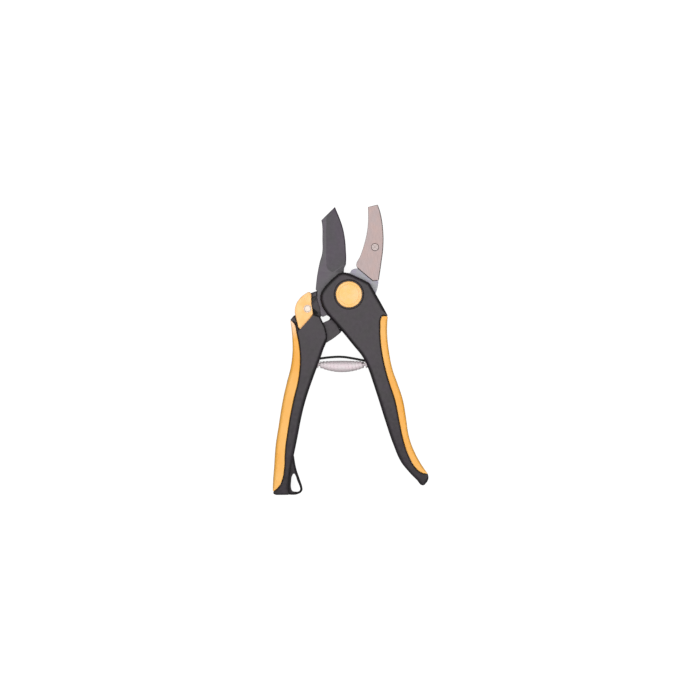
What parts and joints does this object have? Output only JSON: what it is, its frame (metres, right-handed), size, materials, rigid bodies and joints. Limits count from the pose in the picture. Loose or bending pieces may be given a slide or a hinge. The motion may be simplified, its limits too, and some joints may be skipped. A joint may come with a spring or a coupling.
{
  "type": "pruning shears",
  "caption": "Hand-held bypass pruning shears with a coated blade, a steel hook, two-colour moulded handles, a return spring and a thumb catch.",
  "frame": {"origin": "on the pivot's axis, in the plane of the handles' flat backs, which is the end face of the pivot bolt", "axes": "+X to the right seen from the front, +Y from the pivot towards the blade tips, +Z from the back of the shears to the front, along the pivot"},
  "size_m": [0.1154, 0.2149, 0.018],
  "materials": {
    "black_plastic": "fine moulded grain, satin",
    "yellow_plastic": "soft orange-yellow moulded grip, satin",
    "catch_plastic": "smooth light orange",
    "cap_plastic": "smooth light yellow",
    "blade_coat": "dark grey non-stick coating",
    "hook_steel": "satin, slightly warm",
    "bare_steel": "ground",
    "spring_steel": "bright plated",
    "black_steel": "blackened",
    "bronze": "plain bearing bronze",
    "black_rubber": "matt"
  },
  "bodies": {
    "blade_handle": {"cutting_blade": "blade_coat", "right_handle_body": "black_plastic", "right_grip": "yellow_plastic", "right_spring_seat": "black_steel", "right_screw_upper": "bare_steel", "right_screw_lower": "bare_steel", "pivot_bolt": "bare_steel", "pivot_cap": "cap_plastic", "pivot_nut": "bare_steel", "spring_washer": "spring_steel", "friction_washer": "bronze", "return_spring": "spring_steel", "retaining_strip": "black_steel"},
    "hook_handle": {"left_handle_body": "black_plastic", "left_grip": "yellow_plastic", "left_spring_seat": "black_steel", "left_screw_upper": "bare_steel", "left_screw_lower": "bare_steel", "hook_carrier": "bare_steel", "hook_blade": "hook_steel", "hook_rivet_upper": "hook_steel", "hook_rivet_lower": "bare_steel", "pivot_bush": "bronze", "closing_bumper": "black_rubber", "catch_rivet": "bare_steel", "catch_washer": "black_steel"},
    "catch": {"catch_lever": "catch_plastic", "catch_pawl": "black_steel"}
  },
  "joints": [
    {"name": "main_pivot", "type": "hinge", "parent": "blade_handle", "child": "hook_handle", "pos_m": [0, 0, 0], "axis": [0, 0, 1], "range_deg": [0, 24], "stiffness_Nm_per_rad": 1.5, "springref_deg": -17.19, "deforming": ["return_spring", "retaining_strip"]},
    {"name": "catch_pivot", "type": "hinge", "parent": "hook_handle", "child": "catch", "pos_m": [-0.0306, -0.0106, 0], "axis": [0, 0, 1], "range_deg": [0, 38]}
  ]
}
